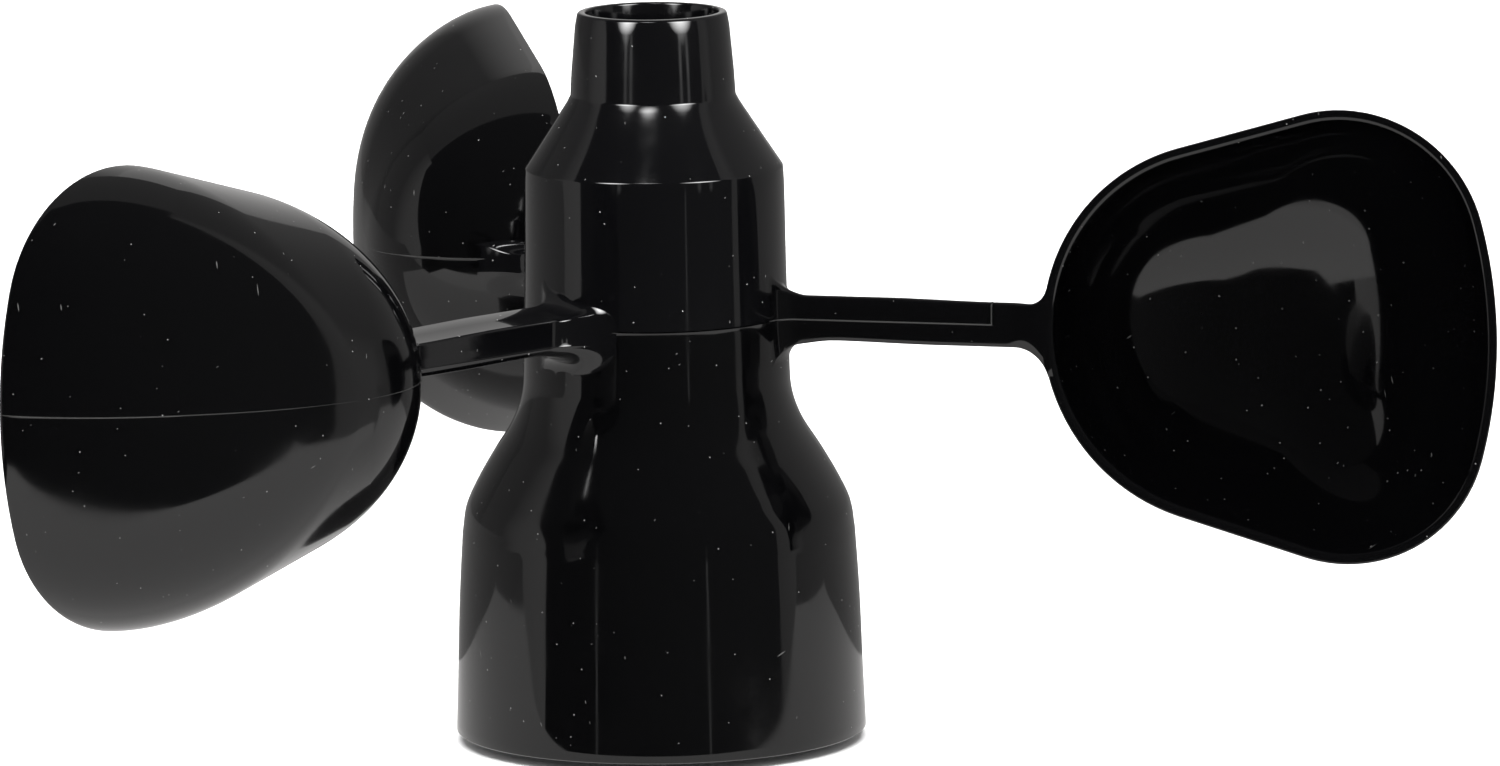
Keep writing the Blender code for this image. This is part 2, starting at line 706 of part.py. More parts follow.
hub_upper()
hub_bell()
for arm_number in range(1, ARMS + 1):
    arm(arm_number)
    cup(arm_number)
spindle()
spindle_clip()
shaft_insert()
nut_washer()
retaining_nut()
drip_ring()
magnet_carrier()
bearing("lower", LOWER_BEARING_Z)
bearing("upper", UPPER_BEARING_Z)
bearing_housing()
housing_circlip()
bearing_spacer()
sensor_base()
sensor_cover()
base_seal()
cable_grommet()
sensor_board()
reed_switch()
for screw_number, spot in enumerate(post_places(), start=1):
    seat = BOARD_Z + BOARD_THICK + GAP
    screw(f"board_screw_{screw_number}", spot, seat, BOARD_SCREW_END, BOARD_SCREW_HEAD_R)
for screw_number in (1, 2, 3):
    spot = polar(HOUSING_SCREW_AT, 120 * screw_number - 30)
    seat = FLANGE_TOP + GAP
    screw(f"housing_screw_{screw_number}", spot, seat, HOUSING_SCREW_END, HOUSING_SCREW_HEAD_R)
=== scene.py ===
"""The looks of a three-cup anemometer: fine moulded shells for the rotor's hub, arms and cups round
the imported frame, with procedural materials, a pale floor, soft studio light and the camera.

Metres, +Z up, in the frame's own axes. u runs out along an arm, t is the way the closed side of a
cup leads and w is the height above the arms' mid-plane. Lengths in millimetres end up times MM.
"""

import json
from math import acos, atan2, cos, hypot, pi, radians, sin, sqrt

import bmesh
import bpy
import numpy as np
from mathutils import Matrix, Quaternion, Vector


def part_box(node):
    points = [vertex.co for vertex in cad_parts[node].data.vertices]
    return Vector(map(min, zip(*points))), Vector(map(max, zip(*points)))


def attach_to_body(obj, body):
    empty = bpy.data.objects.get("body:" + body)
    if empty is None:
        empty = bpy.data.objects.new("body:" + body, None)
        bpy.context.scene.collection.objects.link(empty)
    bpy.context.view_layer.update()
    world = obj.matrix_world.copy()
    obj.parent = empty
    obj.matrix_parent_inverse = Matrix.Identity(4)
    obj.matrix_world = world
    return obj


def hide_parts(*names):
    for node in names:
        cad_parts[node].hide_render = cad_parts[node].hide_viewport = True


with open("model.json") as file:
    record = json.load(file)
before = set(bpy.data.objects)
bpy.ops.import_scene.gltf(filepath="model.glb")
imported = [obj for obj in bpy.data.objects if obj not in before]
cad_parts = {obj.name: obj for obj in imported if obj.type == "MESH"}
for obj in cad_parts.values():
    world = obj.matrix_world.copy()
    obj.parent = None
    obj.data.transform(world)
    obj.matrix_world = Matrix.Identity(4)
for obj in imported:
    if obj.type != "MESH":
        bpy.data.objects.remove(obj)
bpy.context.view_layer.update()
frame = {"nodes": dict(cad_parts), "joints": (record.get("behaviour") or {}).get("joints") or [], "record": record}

MM = 0.001
ARMS = 3
SPIN = next(joint for joint in frame["joints"] if joint["name"] == "rotor_spin")
ARM_Z = SPIN["pos_m"][2] / MM

# Hub, mm: heights from the arms' mid-plane
HUB_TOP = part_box("hub_upper")[1].z / MM - ARM_Z
BELL_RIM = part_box("hub_bell")[0].z / MM - ARM_Z + 0.35
SEAM_W = 0.3  # the mould's joint line, round the hub and along the arms
SEAM_GAP = 0.03
SEAM_EDGE = 0.08  # the small bevel on the shells' edges at the joint
SEAM_CLEAR = 0.4  # how far from the joint the shells' smooth outlines stop
WALL = 1.9
TUBE_EDGE = (9.17, 24.8)
SHOULDER_EDGE = (14.32, 16.78)
WELL_FLOOR = 13.0
HUB_STEPS = 160

# Mould lines, mm: fine raised ridges
RIDGE = 0.05
RIDGE_HALF = 0.1  # half the ridge's width
RIDGE_GROWTH = 1.6  # the most that a ridge is widened where a cup's section is small
RIDGE_GUARD = 0.16  # where the face beside a ridge on an arm is flat again

# Arm, mm
ARM_TOP = 2.93
ARM_BOTTOM = -2.0
ARM_TAPER = 0.2  # how much the top comes down, and the bottom too, on the way out
ARM_BACK = -1.7
ARM_FRONT = 2.6
ARM_SLOPE = 0.32  # the top face falls towards the front
ARM_SPLIT_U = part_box("arm_1")[1].x / MM
ARM_CORNER = 0.16
ARM_BACK_EDGE = 0.7
FRONT_RIDGE_W = -1.15  # the mould line along the arm's front
SEAM_POINT = 7  # the place of the back's mould line in an arm's outline
EDGE_POINT = 14  # the middle of the rounded back edge there
HUB_FILLET_RISE = 2.4  # the top fillet's height, which is less than its reach
HUB_FILLET_TOP = 3.3
HUB_FILLET_BOTTOM = 2.25
HUB_FILLET_BACK = 2.15
HUB_FILLET_FRONT = 4.3
CUP_FILLET_TOP = 1.7
CUP_FILLET_BOTTOM = 3.1
CUP_FILLET_FRONT = 6.5

# Cup, mm
LIP_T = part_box("cup_1")[0].y / MM
CUP_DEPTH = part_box("cup_1")[1].y / MM - LIP_T
LIP_WIDTH = 1.25
LIP_OUTER_EDGE = 0.2
LIP_INNER_EDGE = 0.6
CUP_WALL = 1.4  # at the apex
CUP_ROWS = 44
CUP_INNER_U = 65.95
CUP_INNER_R = 21.3
CUP_CORNER_U = 78.47
CUP_CORNER_W = 9.11
CUP_CORNER_R = 16.04
CUP_OUTER_R = 51.8
CUP_CENTRE_U = 66.2
CUP_APEX_SHIFT = -4.4
CUP_POWER = 1.612
CUP_ROOT = 2.386

# Camera
CAMERA_DISTANCE = 1.4231
CAMERA_AZIMUTH = 15.463
CAMERA_ELEVATION = 8.74
CAMERA_ROLL = -0.771
CAMERA_LENS = 307.39
TARGET_RIGHT = -0.010444  # where the hub's centre lies from the line of sight
TARGET_UP = 0.007515

# Studio, mm
BOARD_Z = -1.0  # the light box's table, just under the floor that the camera sees
WALL_LOW_Z = -400
LAMP_DISTANCE = 600
LAMP_AIM_Z = 65
FLOOR_SIZE = 14000
FLOOR_Z = -0.2
TOP_LIGHT_SIZE = 3000
TOP_LIGHT_Z = 2200
TOP_LIGHT_WATTS = 120


# Shapes


def smooth(points, per_span=6):
    """A centripetal Catmull-Rom curve through the points."""
    p = [np.array(q, float) for q in points]
    p = [2 * p[0] - p[1]] + p + [2 * p[-1] - p[-2]]
    found = []
    for a, b, c, d in zip(p, p[1:], p[2:], p[3:]):
        t0 = 0.0
        t1 = t0 + sqrt(np.linalg.norm(b - a))
        t2 = t1 + sqrt(np.linalg.norm(c - b))
        t3 = t2 + sqrt(np.linalg.norm(d - c))
        for i in range(per_span):
            t = t1 + (t2 - t1) * i / per_span
            a1 = (t1 - t) / (t1 - t0) * a + (t - t0) / (t1 - t0) * b
            a2 = (t2 - t) / (t2 - t1) * b + (t - t1) / (t2 - t1) * c
            a3 = (t3 - t) / (t3 - t2) * c + (t - t2) / (t3 - t2) * d
            b1 = (t2 - t) / (t2 - t0) * a1 + (t - t0) / (t2 - t0) * a2
            b2 = (t3 - t) / (t3 - t1) * a2 + (t - t1) / (t3 - t1) * a3
            found.append(tuple((t2 - t) / (t2 - t1) * b1 + (t - t1) / (t2 - t1) * b2))
    found.append(tuple(points[-1]))
    return found


def rounded(points, radii, closed=True, steps=5):
    """The outline with each corner turned into an arc of its radius (0 keeps it sharp)."""
    found = []
    count = len(points)
    for i, (point, radius) in enumerate(zip(points, radii)):
        here = Vector(point)
        if radius <= 0 or (not closed and i in (0, count - 1)):
            found.append(tuple(here))
            continue
        before = Vector(points[i - 1]) - here
        after = Vector(points[(i + 1) % count]) - here
        half = before.angle(after) / 2
        cut = min(radius / max(1e-6, np.tan(half)), before.length * 0.49, after.length * 0.49)
        radius = cut * np.tan(half)
        centre = here + (before.normalized() + after.normalized()).normalized() * (
            radius / sin(half))
        start = here + before.normalized() * cut - centre
        stop = here + after.normalized() * cut - centre
        turn = start.angle_signed(stop)
        for k in range(steps + 1):
            turned = start.copy()
            turned.rotate(Matrix.Rotation(-turn * k / steps, 2))
            found.append(tuple(centre + turned))
    return found


def object_from(name, vertices, faces, sharp=30.0):
    """Vertices in mm, heights from the arms' mid-plane."""
    mesh = bpy.data.meshes.new(name)
    mesh.from_pydata([(x * MM, y * MM, (z + ARM_Z) * MM) for x, y, z in vertices], [], faces)
    bm = bmesh.new()
    bm.from_mesh(mesh)
    bmesh.ops.recalc_face_normals(bm, faces=bm.faces)
    bm.to_mesh(mesh)
    bm.free()
    mesh.shade_smooth()
    mesh.set_sharp_from_angle(angle=radians(sharp))
    obj = bpy.data.objects.new(name, mesh)
    bpy.context.scene.collection.objects.link(obj)
    return obj


def turned(name, profile, steps=HUB_STEPS, sharp=30.0):
    """A solid turned about Z from a closed (radius, height) outline. Radius 0 makes a pole."""
    vertices, faces, rows = [], [], []
    for r, z in profile:
        if r <= 1e-9:
            rows.append([len(vertices)] * steps)
            vertices.append((0.0, 0.0, z))
            continue
        rows.append(list(range(len(vertices), len(vertices) + steps)))
        for i in range(steps):
            a = 2 * pi * i / steps
            vertices.append((r * cos(a), r * sin(a), z))
    for near, far in zip(rows, rows[1:] + rows[:1]):
        for i in range(steps):
            j = (i + 1) % steps
            corners = []
            for v in (near[i], near[j], far[j], far[i]):
                if v not in corners:
                    corners.append(v)
            if len(corners) > 2:
                faces.append(corners)
    return object_from(name, vertices, faces, sharp)


def loft(name, rings, sharp=30.0, turn=0.0):
    """A closed solid through rings of equal length, capped by a fan at each end."""
    count = len(rings[0])
    vertices = [p for ring in rings for p in ring]
    faces = []
    for r in range(len(rings) - 1):
        for i in range(count):
            j = (i + 1) % count
            a, b = r * count, (r + 1) * count
            faces.append((a + i, a + j, b + j, b + i))
    for start, ring in ((0, rings[0]), ((len(rings) - 1) * count, rings[-1])):
        centre = len(vertices)
        vertices.append(tuple(np.mean(np.array(ring, float), axis=0)))
        for i in range(count):
            faces.append((start + i, start + (i + 1) % count, centre))
    c, s = cos(turn), sin(turn)
    vertices = [(x * c - y * s, x * s + y * c, z) for x, y, z in vertices]
    return object_from(name, vertices, faces, sharp)


def step_between(low, high, x):
    """A smooth step from 0 at low to 1 at high."""
    share = min(1.0, max(0.0, (x - low) / (high - low)))
    return share * share * (3 - 2 * share)


def flare(distance, reach, height=None):
    """How far a fillet of that reach and height stands out at a distance from the surface."""
    if distance >= reach:
        return 0.0
    return (height or reach) * (1 - sqrt(max(0.0, 1 - (1 - distance / reach) ** 2)))


def mark_line(obj, on_line):
    """Marks the vertices, told by their numbers, along a mould line, where the material paints a highlight."""
    levels = obj.data.attributes.new("mould_line_highlight", "FLOAT", "POINT")
    for number, level in enumerate(levels.data):
        level.value = 1.0 if on_line(number) else 0.0
    return obj


# Hub


def waist_curve():
    """The hub's outer face from the shoulder down, (radius, height)."""
    return [SHOULDER_EDGE, (14.4, 15.4), (14.48, 11.0), (14.53, 6.5), (14.66, 0.3), (14.8, -5.0)]


def flare_curve():
    """The outer face from the waist to the bell."""
    return [
        (14.8, -5.6), (14.92, -7.8), (15.38, -9.8), (16.28, -11.9), (18.25, -15.0),
        (20.25, -18.5), (21.4, -21.1), (21.86, -24.0),
    ]


def bell_curve():
    """The bell's outer face, down to the rim's rounding."""
    return [(21.9, -24.6), (22.28, -31.0), (22.56, -39.0), (22.84, BELL_RIM + 0.25)]


def outer_radius(w):
    """The hub's radius at a height, over the stretch that the arms meet."""
    points = smooth(waist_curve(), 8) + smooth(flare_curve(), 8)
    heights = [p[1] for p in points][::-1]
    return float(np.interp(w, heights, [p[0] for p in points][::-1]))


def hub_upper():
    """The open tube, the cone and the upper waist, with the boss and its well inside."""
    low = SEAM_W + SEAM_GAP / 2
    waist = [p for p in smooth(waist_curve(), 8)[1:] if p[1] > low + SEAM_CLEAR]
    at_seam = outer_radius(SEAM_W)
    rim = [(7.2, HUB_TOP - 3.0), (7.4, HUB_TOP), (8.28, HUB_TOP), (8.57, HUB_TOP - 1.6)]
    cone = [rim[-1], (9.02, 27.4), TUBE_EDGE, (9.62, 23.95), (10.72, 22.25), (12.43, 19.65),
            SHOULDER_EDGE, waist[0]]
    outer = rounded(rim, [0, 0.25, 0.4, 0], closed=False)[:-1]
    outer += rounded(cone, [0, 0, 0.5, 0, 0, 0, 0.5, 0], closed=False)
    outer += waist[1:] + [(at_seam, low + SEAM_EDGE), (at_seam - SEAM_EDGE, low)]
    inner = [
        (at_seam - WALL, low), (12.58, 15.8), (9.0, 21.6), (8.7, 11.0), (5.6, 10.4), (5.6, 3.2),
        (4.0, 3.2), (4.0, WELL_FLOOR), (6.5, WELL_FLOOR), (6.6, WELL_FLOOR + 0.4),
    ]
    return turned("hub_upper_shell", outer + inner)


def hub_bell():
    """The lower waist, the flare and the bell, with a fine bead at the joint line."""
    high = SEAM_W - SEAM_GAP / 2
    at_seam = outer_radius(SEAM_W)
    waist = [p for p in smooth(waist_curve(), 8) if p[1] < high - SEAM_CLEAR]
    bead = 0.03
    outer = [(at_seam - 0.05, high), (at_seam + bead, high - bead),
             (at_seam + bead, high - SEAM_EDGE), (at_seam, high - 2 * SEAM_EDGE)]
    outer += waist + smooth(flare_curve(), 8)
    outer += smooth(bell_curve(), 8) + [(22.79, BELL_RIM + 0.1), (22.64, BELL_RIM)]
    inner = rounded([
        (20.9, BELL_RIM), (20.5, -36.0), (20.0, -26.0), (19.7, -22.0), (18.0, -18.5),
        (14.6, -13.0), (13.2, -10.4), (12.85, -7.0), (at_seam - WALL, high),
    ], [0.3, 0, 0, 2, 4, 4, 2, 0, 0], closed=False)
    return turned("hub_bell_shell", outer + inner)


# Cups


def lip_outline(inset, per_arc):
    """The lip's outline in (u, w), moved in by inset: round inner end, two round outer corners and
    a long outer arc. It runs anticlockwise from the middle of the outer side."""
    inner_r = CUP_INNER_R - inset
    corner_r = CUP_CORNER_R - inset
    outer_r = CUP_OUTER_R - inset
    reach = CUP_OUTER_R - CUP_CORNER_R
    outer_u = CUP_CORNER_U - sqrt(reach**2 - CUP_CORNER_W**2)
    meets = atan2(CUP_CORNER_W, CUP_CORNER_U - outer_u)
    along, up = CUP_CORNER_U - CUP_INNER_U, CUP_CORNER_W
    tangent = atan2(up, along) + acos((inner_r - corner_r) / hypot(along, up))

    def arc(u, w, radius, start, stop, count):
        angles = [start + (stop - start) * i / count for i in range(count + 1)]
        return [(u + radius * cos(a), w + radius * sin(a)) for a in angles]

    half = arc(outer_u, 0, outer_r, 0, meets, per_arc[0])
    half += arc(CUP_CORNER_U, CUP_CORNER_W, corner_r, meets, tangent, per_arc[1])[1:]
    straight = arc(CUP_INNER_U, 0, inner_r, tangent, pi, per_arc[2])
    a, b = half[-1], straight[0]
    links = per_arc[3]
    half += [(a[0] + (b[0] - a[0]) * k / links, a[1] + (b[1] - a[1]) * k / links)
             for k in range(1, links)]
    half += straight
    return half + [(u, -w) for u, w in reversed(half[1:-1])]


def shrink(share):
    """The size of the cup's section at a share of its depth, as a part of the lip's."""
    return (1 - min(1.0, share) ** CUP_POWER) ** (1 / CUP_ROOT)


def with_seam(outline, inset, size, raised):
    """The outline with a mould line's fine ridge across its outer and inner ends. The section is
    shrunk to its size later, so the ridge grows here."""
    scale = min(RIDGE_GROWTH, 1 / size)
    heights = [(SEAM_W + step) * scale for step in (-RIDGE_HALF, 0, RIDGE_HALF)]
    lifts = [0, raised * scale, 0]
    outer_r, inner_r = CUP_OUTER_R - inset, CUP_INNER_R - inset
    outer_u = outline[0][0] - outer_r
    outer = [(outer_u + sqrt(outer_r**2 - w**2) + lift, w) for w, lift in zip(heights, lifts)]
    inner = [(CUP_INNER_U - sqrt(inner_r**2 - w**2) - lift, w) for w, lift in zip(heights, lifts)]
    half = len(outline) // 2
    return outline[:1] + outer + outline[1:half] + inner[::-1] + outline[half:]


def cup_ring(inset, share, t, raised=0.0):
    """The section of the cup's surface at a share of its depth."""
    size, centre = shrink(share), CUP_CENTRE_U + CUP_APEX_SHIFT * share
    outline = with_seam(lip_outline(inset, (10, 26, 40, 4)), inset, size, raised)
    return [(centre + (u - CUP_CENTRE_U) * size, t, w * size) for u, w in outline]


def dome_u(t, w):
    """Where the dome's outer face is along u, on the side that faces the hub."""
    share = max(0.0, (t - LIP_T) / CUP_DEPTH)
    size, centre = shrink(share), CUP_CENTRE_U + CUP_APEX_SHIFT * share
    across = min(abs(w / size), CUP_INNER_R - 0.01)
    return centre + (CUP_INNER_U - CUP_CENTRE_U - sqrt(CUP_INNER_R**2 - across**2)) * size


def cup(number):
    """A half-egg shell: rings from the apex to the lip, round its edges and back down inside."""
    shares = [sin(pi / 2 * i / CUP_ROWS) for i in range(CUP_ROWS)] + [0.9995]
    edge, inner_edge, count = LIP_OUTER_EDGE, LIP_INNER_EDGE, 6
    rings = [cup_ring(0, s, LIP_T + s * CUP_DEPTH, RIDGE if s > 0.06 else 0)
             for s in reversed(shares) if s * CUP_DEPTH > edge * 1.2]
    for k in range(count + 1):
        a = pi / 2 * k / count
        rings.append(cup_ring(edge * (1 - cos(a)), 0, LIP_T + edge * (1 - sin(a))))
    for k in range(count + 1):
        a = pi / 2 * k / count
        rings.append(cup_ring(LIP_WIDTH - inner_edge * (1 - sin(a)), 0,
                              LIP_T + inner_edge * (1 - cos(a))))
    depth = CUP_DEPTH - CUP_WALL
    rings += [cup_ring(LIP_WIDTH, s, LIP_T + s * depth) for s in shares
              if s * depth > inner_edge * 1.3]
    shell = loft(f"cup_{number}_shell", rings, turn=2 * pi / ARMS * (number - 1))
    around, outside = len(rings[0]), sum(s * CUP_DEPTH > edge * 1.2 for s in shares)
    lines = (2, (around - 6) // 2 + 4)  # the middles of the two ridges that with_seam puts in
    return mark_line(shell, lambda i: i < outside * around and i % around in lines)


# Arms


def arm_section(u, hub_gap, cup_gap):
    """The arm's (t, w) outline where it is hub_gap from the hub and cup_gap from the cup."""
    top = ARM_TOP - ARM_TAPER * step_between(27, 39, u)
    top += flare(hub_gap, HUB_FILLET_TOP, HUB_FILLET_RISE) + flare(cup_gap, CUP_FILLET_TOP)
    bottom = ARM_BOTTOM - ARM_TAPER * step_between(20, 33, u)
    bottom -= 0.7 * (1 - step_between(0, 6.5, hub_gap))
    bottom -= flare(hub_gap, HUB_FILLET_BOTTOM) + flare(cup_gap, CUP_FILLET_BOTTOM)
    back = ARM_BACK - flare(hub_gap, HUB_FILLET_BACK)
    back -= (ARM_BACK - LIP_T + 0.01) * (1 - step_between(0.3, 4.0, cup_gap))
    front = ARM_FRONT + flare(hub_gap, HUB_FILLET_FRONT) + flare(cup_gap, CUP_FILLET_FRONT)
    bulge = front - ARM_FRONT
    lower, corner = FRONT_RIDGE_W, ARM_CORNER
    seam = RIDGE if u < ARM_SPLIT_U else 0.0
    lower_t = min(0.9 + bulge, front - back - 0.4)
    edge = min(ARM_BACK_EDGE, cup_gap * 0.2 + 0.12)
    round_t = 0.35 + bulge * 0.7
    fall = ARM_SLOPE * (front - round_t - back - edge)

    def corner_arc(t, w, start, radius, count=3):
        return [(t + radius * cos(start - pi / 2 * k / count),
                 w + radius * sin(start - pi / 2 * k / count)) for k in range(count + 1)]

    outline = corner_arc(back + corner, bottom + corner, -pi / 2, corner)
    middle = SEAM_W if bottom < SEAM_W < top else (top + bottom) / 2
    outline += [(back, (bottom + middle) / 2), (back, middle - RIDGE_GUARD),
                (back, middle - RIDGE_HALF), (back - seam, middle), (back, middle + RIDGE_HALF),
                (back, middle + RIDGE_GUARD), (back, (top - edge + middle) / 2)]
    outline += corner_arc(back + edge, top - edge, pi, edge, 6)
    flat = front - round_t
    outline.append(((back + edge + flat) / 2, top - fall / 2))
    count = 12
    shoulder = top - fall
    upper = min(shoulder - 0.35, 1.9)
    for k in range(count + 1):
        a = pi / 2 * k / count
        outline.append((flat + round_t * sin(a), upper + (shoulder - upper) * cos(a)))
    outline += [(front, 0.1), (front, lower + RIDGE_HALF), (front + RIDGE, lower),
                (front, lower - RIDGE_HALF)]
    for k in range(1, count + 1):
        a = pi / 2 * k / count
        outline.append((front - lower_t + lower_t * cos(a),
                        lower - RIDGE_HALF + (bottom - lower + RIDGE_HALF) * sin(a)))
    outline.append(((back + corner + front - lower_t) / 2, bottom))
    return outline


def arm_ring(u, cup_end=False, inset=0.0):
    """One ring of the arm, bent near its ends to the faces that it runs into."""
    hub_r, cup_u = outer_radius(SEAM_W), dome_u(LIP_T, 0)
    hub_gap, cup_gap = u - hub_r, cup_u - u
    outline = arm_section(u, max(0.0, hub_gap), max(0.0, cup_gap))
    ring = []
    for t, w in outline:
        if cup_end:
            share = 1 - step_between(2.5, 5.4, cup_gap)
            bend = (dome_u(t, w) - cup_u) * share
        else:
            share = 1 - step_between(6, 12, hub_gap)
            bend = (sqrt(outer_radius(w) ** 2 - t**2) - hub_r) * share
        if inset and w > SEAM_W:
            t, w = t * (1 - inset / 2), w - inset * (w - SEAM_W) / 2
        ring.append((u + bend, t, w))
    return ring


def arm(number):
    """The bar from the hub to the fine step short of the cup, with close rings at the fillets."""
    hub_r = outer_radius(SEAM_W)
    gaps = [4.5 * (1 - cos(pi / 2 * k / 18)) for k in range(19)]
    places = [hub_r - 0.6, hub_r - 0.3] + [hub_r + g for g in gaps]
    places += list(np.linspace(hub_r + 5.5, ARM_SPLIT_U - 0.5, 14))
    rings = [arm_ring(u) for u in places]
    rings += [arm_ring(ARM_SPLIT_U - gap, inset=inset)
              for gap, inset in ((0.3, 0.0), (0.19, -0.06), (0.08, 0.0), (0.0, 0.06))]
    bar = loft(f"arm_{number}_bar", rings, sharp=40, turn=2 * pi / ARMS * (number - 1))
    around, step_ring = len(rings[0]), len(rings) - 3  # the raised ring at the step

    def on_line(i):
        row, place = divmod(i, around)
        if row == step_ring:
            return SEAM_POINT <= place <= EDGE_POINT
        return row < step_ring and place == SEAM_POINT

    return mark_line(bar, on_line)


def tang(number):
    """The cup's own end of the arm, from the fine step into the dome."""
    cup_u = dome_u(LIP_T, 0)
    start = ARM_SPLIT_U + 0.004
    gaps = [(cup_u - start - 0.06) * (1 - cos(pi / 2 * k / 24)) for k in range(25)]
    places = [cup_u - g for g in reversed(gaps)] + [cup_u + 0.3, cup_u + 0.6]
    rings = [arm_ring(start, True, inset=0.06)] + [arm_ring(u, True) for u in places]
    return loft(f"cup_{number}_tang", rings, sharp=40, turn=2 * pi / ARMS * (number - 1))


# Materials


def feed(tree, socket, value):
    """Links an input to another node's output, or sets it to a plain value."""
    if isinstance(value, bpy.types.NodeSocket):
        tree.links.new(value, socket)
    else:
        socket.default_value = value


def node(tree, kind, settings=None, **inputs):
    """A new shader node with its settings, and its inputs set or linked."""
    made = tree.nodes.new("ShaderNode" + kind)
    for name, value in (settings or {}).items():
        setattr(made, name, value)
    for name, value in inputs.items():
        feed(tree, made.inputs[name.replace("_", " ")], value)
    return made


def new_material(name):
    """A material with its node tree and its shader."""
    made = bpy.data.materials.new(name)
    made.use_nodes = True
    return made, made.node_tree, made.node_tree.nodes["Principled BSDF"]


def place_in(tree, stretch=(1, 1, 1), turn=(0, 0, 0)):
    """Object coordinates in metres, turned and then stretched."""
    where = node(tree, "TexCoord").outputs["Object"]
    if any(turn):
        where = node(tree, "Mapping", Vector=where, Rotation=turn).outputs["Vector"]
    return node(tree, "Mapping", Vector=where, Scale=stretch).outputs["Vector"]


def noise(tree, scale, detail=2.0, stretch=(1, 1, 1)):
    """Soft random noise, with scale features to the metre."""
    return node(tree, "TexNoise", Vector=place_in(tree, stretch), Scale=scale, Detail=detail,
                Roughness=0.55).outputs["Fac"]


def between(tree, value, low, high, to_low=0.0, to_high=1.0):
    """The value's stretch from low to high, turned into to_low to to_high."""
    return node(tree, "MapRange", Value=value, From_Min=low, From_Max=high, To_Min=to_low,
                To_Max=to_high).outputs["Result"]


def maths(tree, operation, a, b):
    """One sum on two numbers or sockets."""
    made = node(tree, "Math", {"operation": operation})
    feed(tree, made.inputs[0], a)
    feed(tree, made.inputs[1], b)
    return made.outputs["Value"]


def mixed(tree, share, a, b):
    """The colour between a and b at a share."""
    made = node(tree, "Mix", {"data_type": "RGBA"}, Factor=share, A=(*a, 1), B=(*b, 1))
    return made.outputs["Result"]


def dress(tree, shader, colour, roughness, height, depth):
    """Links colour and roughness, and a bump of that depth in metres."""
    tree.links.new(colour, shader.inputs["Base Color"])
    tree.links.new(roughness, shader.inputs["Roughness"])
    bump = node(tree, "Bump", Height=height, Distance=depth, Strength=1.0)
    tree.links.new(bump.outputs["Normal"], shader.inputs["Normal"])


def specks(tree, scale, size, share, stretch=(1, 1, 1), turn=(0, 0, 0)):
    """1 in small specks, one in some of the cells of a random pattern, or in short scratches
    where the pattern is stretched."""
    place = place_in(tree, stretch, turn)
    cells = node(tree, "TexVoronoi", Vector=place, Scale=scale)
    chance = node(tree, "SeparateColor", Color=cells.outputs["Color"]).outputs["Red"]
    near = between(tree, cells.outputs["Distance"], size, size * 0.5)
    return maths(tree, "MULTIPLY", near, between(tree, chance, share + 0.01, share))


def black_plastic():
    """Gloss black moulded plastic: slight ripples, handling smudges, dust, fine scratches and a painted highlight
    along the mould lines.
    """
    made, tree, shader = new_material("gloss_black_plastic")
    dust = specks(tree, 560, 0.055, 0.9)
    lines = maths(tree, "ADD", specks(tree, 700, 0.05, 0.6, (1, 1, 0.09), (0.35, 0.2, 0)),
                  specks(tree, 620, 0.05, 0.6, (1, 1, 0.07), (1.1, -0.5, 0.3)))
    marks_and_highlight = maths(tree, "MAXIMUM", dust, maths(tree, "MULTIPLY", lines, 0.5))
    # The mould lines are lightened like the dust: a painted highlight, as if their fine ridges caught the light.
    mould_line_highlight = node(tree, "Attribute", {"attribute_name": "mould_line_highlight"}).outputs["Fac"]
    marks_and_highlight = maths(tree, "MAXIMUM", marks_and_highlight, maths(tree, "MULTIPLY", mould_line_highlight, 0.2))
    smudge = between(tree, noise(tree, 70, 3.0), 0.45, 0.75, 0.0, 0.1)
    fine = between(tree, noise(tree, 1200, 2.0), 0.3, 0.7, 0.035, 0.06)
    dulled = maths(tree, "MULTIPLY", marks_and_highlight, 0.4)
    roughness = maths(tree, "ADD", maths(tree, "ADD", smudge, fine), dulled)
    ripple = maths(tree, "ADD", noise(tree, 130, 1.0), dulled)
    # Grey where there is dust or a scratch, and as a painted highlight along the mould lines.
    dress(tree, shader, mixed(tree, marks_and_highlight, (0.0011, 0.0011, 0.0013), (0.22, 0.22, 0.215)),
          roughness, ripple, 0.000012)
    return made


def metal(name, clean, worn, roughness, rings=0.0):
    """Bare metal with dull patches, grain, and the lathe's rings about the spindle's axis."""
    made, tree, shader = new_material(name)
    shader.inputs["Metallic"].default_value = 1.0
    dull = noise(tree, 240, 4.0)
    turned_rings = node(tree, "TexWave", {"wave_type": "RINGS", "rings_direction": "Z"},
                        Vector=place_in(tree), Scale=1400, Distortion=0.6)
    height = maths(tree, "ADD", maths(tree, "MULTIPLY", turned_rings.outputs["Fac"], rings),
                   noise(tree, 3500, 2.0))
    dress(tree, shader, mixed(tree, between(tree, dull, 0.35, 0.7), clean, worn),
          between(tree, dull, 0.3, 0.75, roughness * 0.7, roughness * 1.4), height, 0.000004)
    return made


def matt(name, low, high, roughness, grain, depth):
    """Matt plastic or rubber with a fine grain and slightly uneven colour."""
    made, tree, shader = new_material(name)
    dress(tree, shader, mixed(tree, noise(tree, 120, 4.0), low, high),
          between(tree, noise(tree, 400, 3.0), 0.3, 0.7, roughness - 0.08, roughness + 0.08),
          noise(tree, grain, 3.0), depth)
    return made


def circuit_board():
    """Green solder mask over copper tracks."""
    made, tree, shader = new_material("solder_mask")
    tracks = node(tree, "TexBrick", Vector=place_in(tree), Scale=420, Mortar_Size=0.06)
    edge = tracks.outputs["Fac"]
    dress(tree, shader, mixed(tree, edge, (0.012, 0.1, 0.035), (0.03, 0.2, 0.07)),
          between(tree, noise(tree, 900, 2.0), 0.3, 0.7, 0.28, 0.4), edge, 0.00003)
    return made


